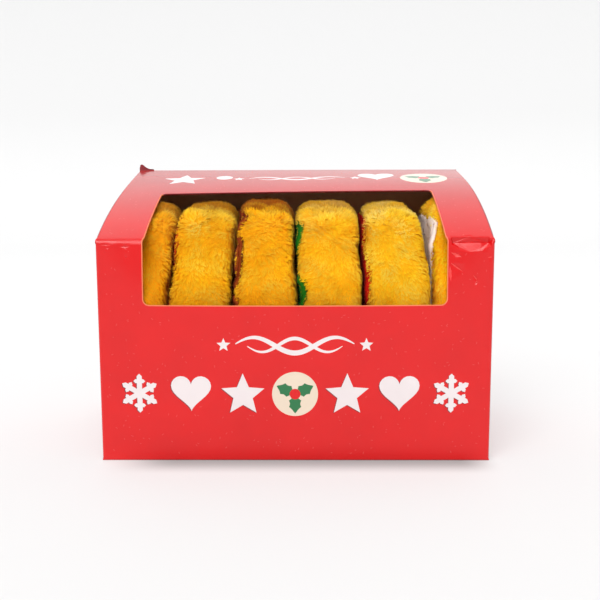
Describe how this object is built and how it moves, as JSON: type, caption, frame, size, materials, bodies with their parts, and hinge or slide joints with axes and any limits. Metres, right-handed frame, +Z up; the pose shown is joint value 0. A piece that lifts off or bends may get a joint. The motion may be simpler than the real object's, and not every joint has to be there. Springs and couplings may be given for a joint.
{
  "type": "box of plush doughnuts",
  "caption": "Red window carton with a bowed, sloping roof, holding a row of soft golden plush ring doughnuts on edge, each with lobed icing on one face.",
  "frame": {"origin": "middle of the carton's underside", "axes": "+Z up, -Y the front with the window, +X to the right seen from the front"},
  "size_m": [0.2, 0.1268, 0.1544],
  "materials": {
    "carton_board": "coated red board, satin gloss, worn at the creases, plain greyish inside",
    "gold_plush": "short tufted golden plush",
    "green_icing": "short green plush",
    "red_icing": "short red plush",
    "chocolate_icing": "short chocolate-brown plush",
    "white_icing": "short white plush"
  },
  "bodies": {
    "root": {"carton": "carton_board", "doughnut_1": "gold_plush", "icing_1": "green_icing", "doughnut_2": "gold_plush", "icing_2": "red_icing", "doughnut_3": "gold_plush", "icing_3": "chocolate_icing", "doughnut_4": "gold_plush", "icing_4": "green_icing", "doughnut_5": "gold_plush", "icing_5": "red_icing", "doughnut_6": "gold_plush", "icing_6": "white_icing"}
  },
  "joints": []
}
